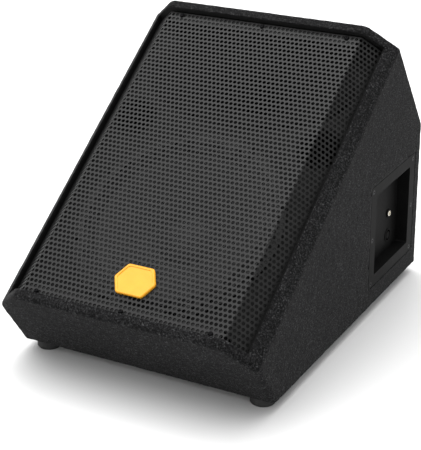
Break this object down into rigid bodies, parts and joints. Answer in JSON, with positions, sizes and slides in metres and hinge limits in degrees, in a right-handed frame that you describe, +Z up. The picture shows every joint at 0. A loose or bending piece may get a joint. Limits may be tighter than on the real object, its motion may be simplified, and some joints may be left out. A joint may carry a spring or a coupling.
{
  "type": "stage monitor wedge",
  "caption": "Floor monitor loudspeaker: carpeted cabinet with a sloping bevelled front, folded perforated grille, woofer and horn, recessed side connectors and handle.",
  "frame": {"origin": "centre of the footprint, on the floor under the feet", "axes": "+Z up, +Y from the front to the back, +X to the side with the connectors"},
  "size_m": [0.404, 0.579, 0.4301],
  "materials": {
    "carpet": "needle-felt",
    "plywood": "matt",
    "black_wood": "matt black stain",
    "wadding": "matt",
    "grille_paint": "satin black",
    "amber": "gloss",
    "black_plastic": "satin",
    "black_paint": "satin black",
    "zinc_steel": "zinc plated",
    "black_screw": "black",
    "nickel": "bright nickel plate",
    "rubber": "matt",
    "foam": "matt",
    "cone_paper": "coated",
    "treated_cloth": "doped",
    "spider_cloth": "resin cloth",
    "ferrite": "matt",
    "copper": "enamelled copper",
    "film": "polyimide",
    "metal_dome": "satin",
    "fibreboard": "satin",
    "capacitor": "gloss",
    "wire_red": "satin"
  },
  "bodies": {
    "cabinet": {"back_panel": "plywood", "badge": "amber", "badge_clips": "zinc_steel", "baffle_board": "black_wood", "baffle_cleats": "plywood", "bottom_panel": "plywood", "carpet_cover": "carpet", "connector_gasket": "foam", "connector_plate": "black_plastic", "connector_screws": "black_screw", "corner_battens": "plywood", "crossover_board": "fibreboard", "crossover_capacitors": "capacitor", "crossover_inductors": "copper", "crossover_resistor": "ferrite", "crossover_spacers": "zinc_steel", "damping_wadding": "wadding", "driver_magnet": "ferrite", "driver_phase_plug": "black_plastic", "driver_pole_plate": "zinc_steel", "driver_rear_cover": "black_plastic", "driver_suspension": "film", "driver_top_plate": "zinc_steel", "driver_wires": "wire_red", "foot_screws": "zinc_steel", "grille": "grille_paint", "grille_battens": "black_wood", "grille_screws": "black_screw", "handle_bar": "black_paint", "handle_cup": "black_plastic", "handle_screws": "black_screw", "horn": "black_plastic", "horn_screws": "black_screw", "input_wires": "wire_red", "jack_body": "black_plastic", "jack_bush": "nickel", "jack_nut": "black_plastic", "kick_panel": "plywood", "port_tubes": "black_plastic", "rubber_feet": "rubber", "side_panel_left": "plywood", "side_panel_right": "plywood", "speaker_socket": "black_plastic", "top_panel": "plywood", "woofer_back_plate": "zinc_steel", "woofer_basket": "black_paint", "woofer_gasket": "foam", "woofer_magnet": "ferrite", "woofer_screws": "black_screw", "woofer_spider": "spider_cloth", "woofer_surround": "treated_cloth", "woofer_tee_nuts": "zinc_steel", "woofer_terminals": "zinc_steel", "woofer_top_plate": "zinc_steel", "woofer_wires": "wire_red"},
    "woofer_moving_parts": {"woofer_cone": "cone_paper", "woofer_dust_cap": "cone_paper", "woofer_coil_former": "film", "woofer_coil": "copper"},
    "driver_moving_parts": {"driver_diaphragm": "metal_dome"}
  },
  "joints": [
    {"name": "woofer_travel", "type": "slide", "parent": "cabinet", "child": "woofer_moving_parts", "axis": [0, -0.5664, 0.8241], "range_m": [-0.004, 0.004], "stiffness_N_per_m": 4000, "deforming": ["woofer_surround", "woofer_spider"]},
    {"name": "driver_travel", "type": "slide", "parent": "cabinet", "child": "driver_moving_parts", "axis": [0, -0.5664, 0.8241], "range_m": [-0.0003, 0.0003], "stiffness_N_per_m": 5000, "deforming": ["driver_suspension"]}
  ]
}
